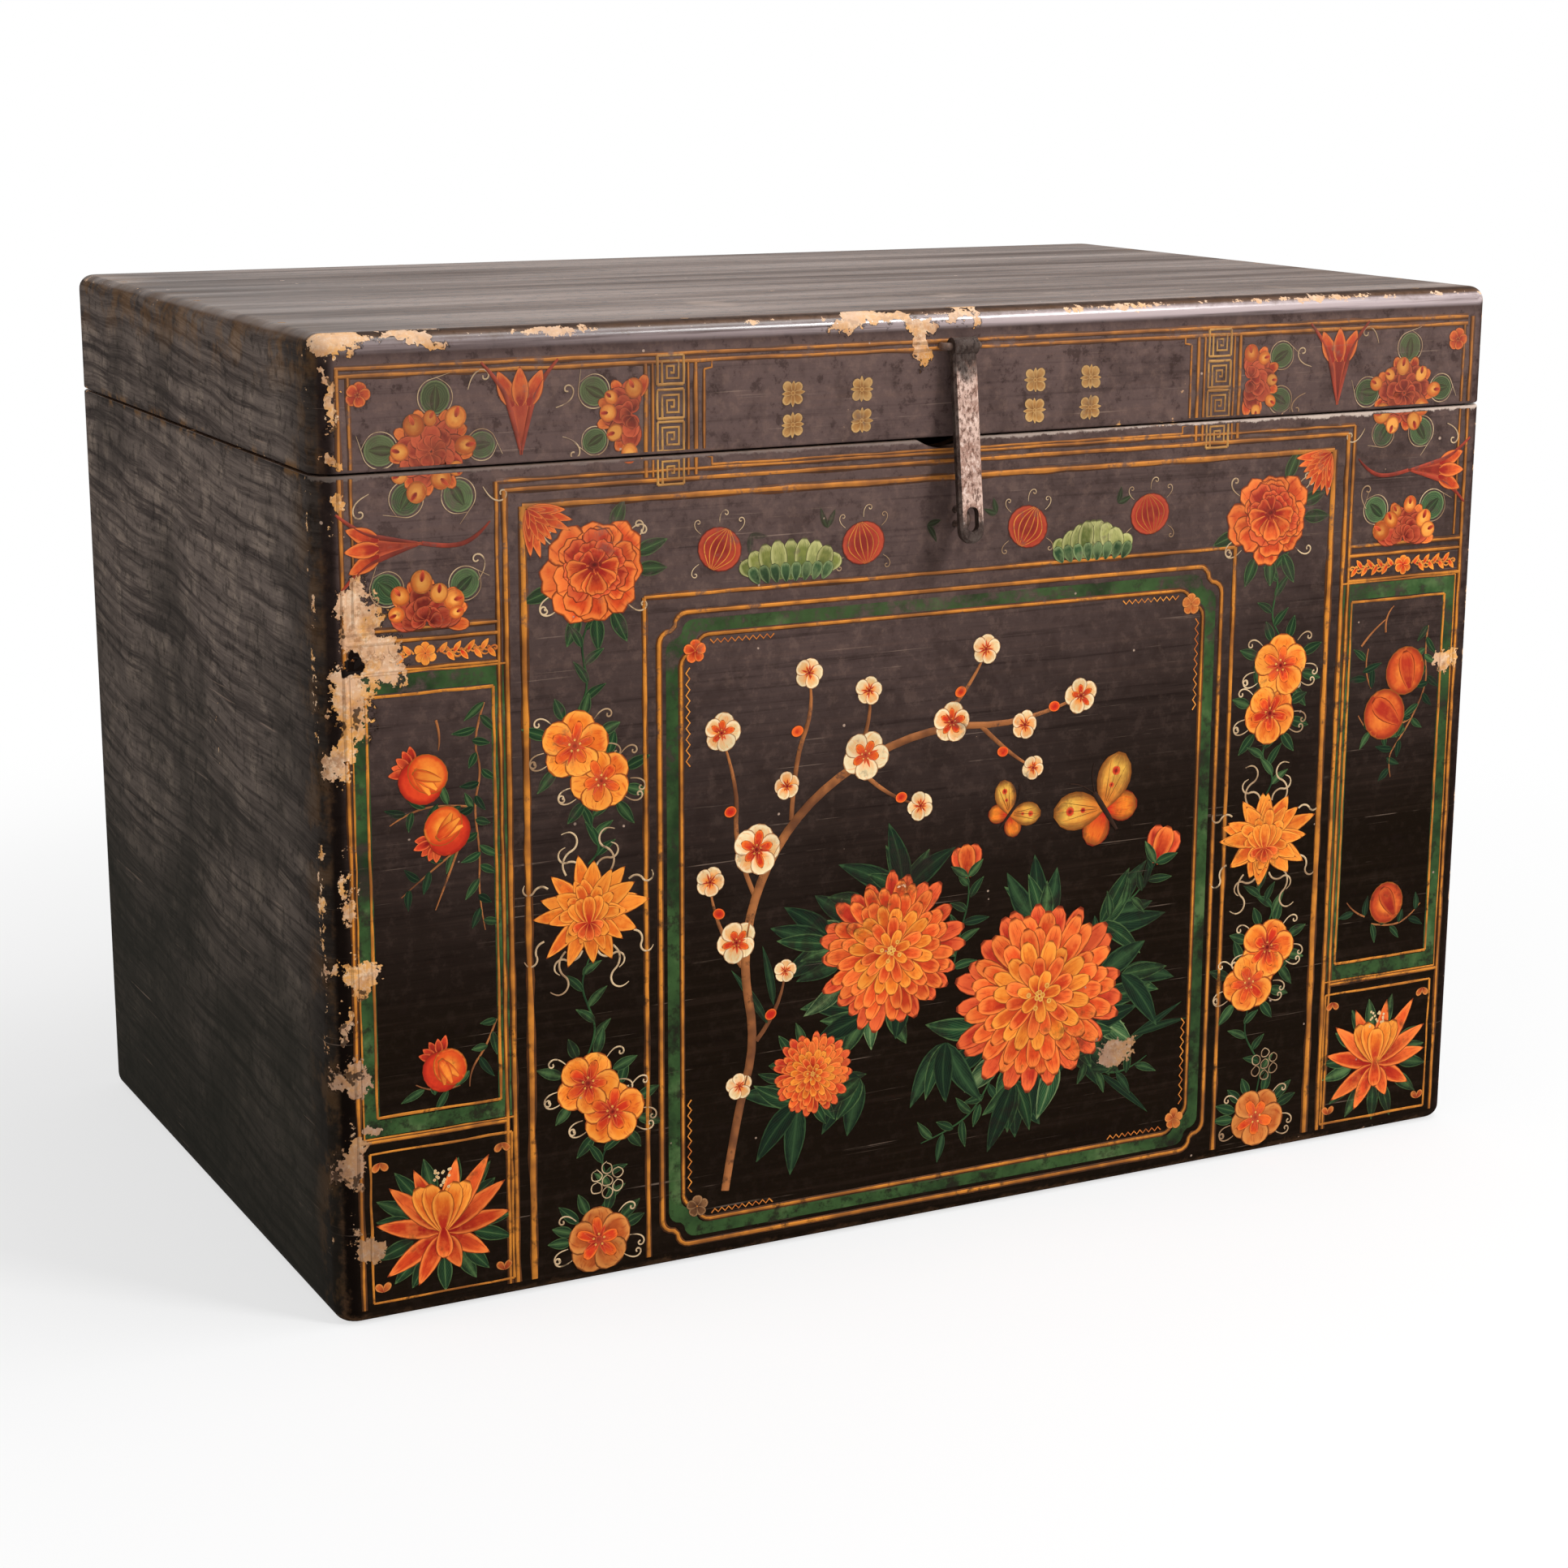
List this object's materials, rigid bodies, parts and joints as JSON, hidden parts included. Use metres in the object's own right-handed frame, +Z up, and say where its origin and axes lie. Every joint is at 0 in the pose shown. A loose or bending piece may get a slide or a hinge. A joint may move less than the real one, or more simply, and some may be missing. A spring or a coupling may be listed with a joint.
{
  "type": "painted wooden trunk",
  "caption": "Dovetailed wooden trunk with black lacquer and gold-lined painted flower panels on the front, a flat hinged lid, and an iron hasp over a lock staple.",
  "frame": {"origin": "middle of the underside, on the floor", "axes": "+X to the trunk's right seen from the front, +Y to its back, +Z up; the front faces -Y"},
  "size_m": [0.83, 0.5386, 0.59],
  "materials": {
    "lacquered_wood": "worn near-black lacquer over gesso",
    "bare_wood": "bare planed softwood",
    "peg_wood": "bamboo dowels and pegs",
    "iron": "hand-forged iron, rusted and rubbed"
  },
  "bodies": {
    "chest": {"front_lower_plank": "lacquered_wood", "front_upper_plank": "lacquered_wood", "back_lower_plank": "lacquered_wood", "back_upper_plank": "lacquered_wood", "left_lower_plank": "lacquered_wood", "left_upper_plank": "lacquered_wood", "right_lower_plank": "lacquered_wood", "right_upper_plank": "lacquered_wood", "bottom_plank_front": "bare_wood", "bottom_plank_middle": "bare_wood", "bottom_plank_rear": "bare_wood", "wall_dowels": "peg_wood", "bottom_dowels": "peg_wood", "bottom_pegs": "peg_wood", "lock_staple": "iron", "left_hinge_base_leaf": "iron", "right_hinge_base_leaf": "iron", "left_hinge_pin": "iron", "right_hinge_pin": "iron", "hinge_base_nails": "iron"},
    "lid": {"lid_front_rail": "lacquered_wood", "lid_back_rail": "lacquered_wood", "lid_left_rail": "lacquered_wood", "lid_right_rail": "lacquered_wood", "top_plank_front": "lacquered_wood", "top_plank_middle": "lacquered_wood", "top_plank_rear": "lacquered_wood", "lid_batten_left": "bare_wood", "lid_batten_right": "bare_wood", "top_dowels": "peg_wood", "top_pegs": "peg_wood", "batten_pegs": "peg_wood", "hasp_staple": "iron", "left_hinge_lid_leaf": "iron", "right_hinge_lid_leaf": "iron", "hinge_lid_nails": "iron"},
    "hasp": {"hasp": "iron"}
  },
  "joints": [
    {"name": "lid_hinge", "type": "hinge", "parent": "chest", "child": "lid", "pos_m": [0, 0.2579, 0.5116], "axis": [-1, 0, 0], "range_deg": [0, 105]},
    {"name": "hasp_swing", "type": "hinge", "parent": "lid", "child": "hasp", "pos_m": [0, -0.2587, 0.568], "axis": [-1, 0, 0], "range_deg": [-6.96, 170]}
  ]
}
